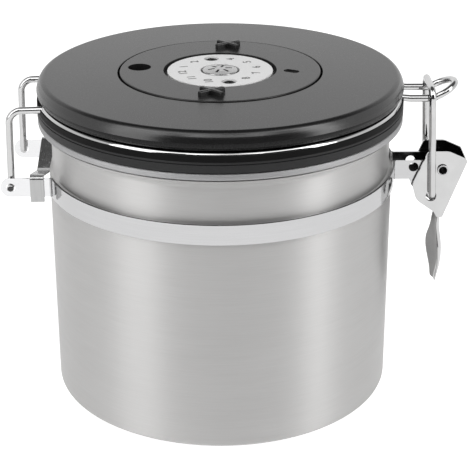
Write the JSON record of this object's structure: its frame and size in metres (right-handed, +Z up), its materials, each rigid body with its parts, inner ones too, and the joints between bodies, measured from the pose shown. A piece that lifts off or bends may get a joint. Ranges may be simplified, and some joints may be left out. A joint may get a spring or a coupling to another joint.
{
  "type": "coffee canister",
  "caption": "Round steel food canister with a hinged moulded lid on a rubber seal, an over-centre wire clamp, a turning date ring over a numbered dial and a vent.",
  "frame": {"origin": "centre of the flat base, on the surface that the canister stands on", "axes": "+Z up the can, +X towards the wire clamp, -X towards the lid hinge, +Y away from the picture's viewer"},
  "size_m": [0.1652, 0.1296, 0.1191],
  "materials": {
    "brushed_steel": "brushed round the can",
    "polished_steel": "polished stainless sheet",
    "satin_steel": "satin stainless sheet",
    "chrome": "bright plated",
    "black_plastic": "matt moulded",
    "dark_plastic": "matt moulded",
    "grey_plastic": "matt moulded",
    "gloss_black": "semi-gloss moulded",
    "silver_plastic": "light silver",
    "silicone": "soft matt",
    "black_steel": "black coated"
  },
  "bodies": {
    "canister": {"can_body": "brushed_steel", "band_front": "polished_steel", "band_rear": "polished_steel", "hinge_clip": "satin_steel", "lever_rivet": "polished_steel"},
    "lid": {"lid_cover": "black_plastic", "lid_base": "dark_plastic", "lid_gasket": "silicone", "lid_wire": "chrome", "lid_screw_1": "black_steel", "lid_screw_2": "black_steel", "lid_screw_3": "black_steel", "lid_screw_4": "black_steel", "day_plate": "black_plastic", "dial_plate": "silver_plastic", "dial_screw_rear": "black_steel", "dial_screw_front": "black_steel", "vent_cap": "silver_plastic", "valve_retainer": "dark_plastic", "valve_guard": "dark_plastic"},
    "valve": {"valve_disc": "silicone"},
    "ring": {"date_ring": "grey_plastic", "ring_grip_rear": "gloss_black", "ring_grip_front": "gloss_black"},
    "lever": {"lever": "chrome"},
    "bail": {"bail": "chrome"}
  },
  "joints": [
    {"name": "lid_hinge", "type": "hinge", "parent": "canister", "child": "lid", "pos_m": [-0.0735, 0, 0.08065], "axis": [0, -1, 0], "range_deg": [0, 105]},
    {"name": "date_ring_spin", "type": "hinge", "parent": "lid", "child": "ring", "pos_m": [0, 0, 0.1138], "axis": [0, 0, 1], "continuous": true},
    {"name": "valve_lift", "type": "slide", "parent": "lid", "child": "valve", "axis": [0, 0, 1], "range_m": [0, 0.001]},
    {"name": "lever_pivot", "type": "hinge", "parent": "canister", "child": "lever", "pos_m": [0.0794, 0, 0.0814], "axis": [0, -1, 0], "range_deg": [0, 125]},
    {"name": "bail_pivot", "type": "hinge", "parent": "lever", "child": "bail", "pos_m": [0.0758, 0, 0.0719], "axis": [0, -1, 0], "range_deg": [-96, 0]}
  ],
  "couplings": [
    {"joint": "bail_pivot", "follows": "lever_pivot", "ratio": -0.76}
  ]
}
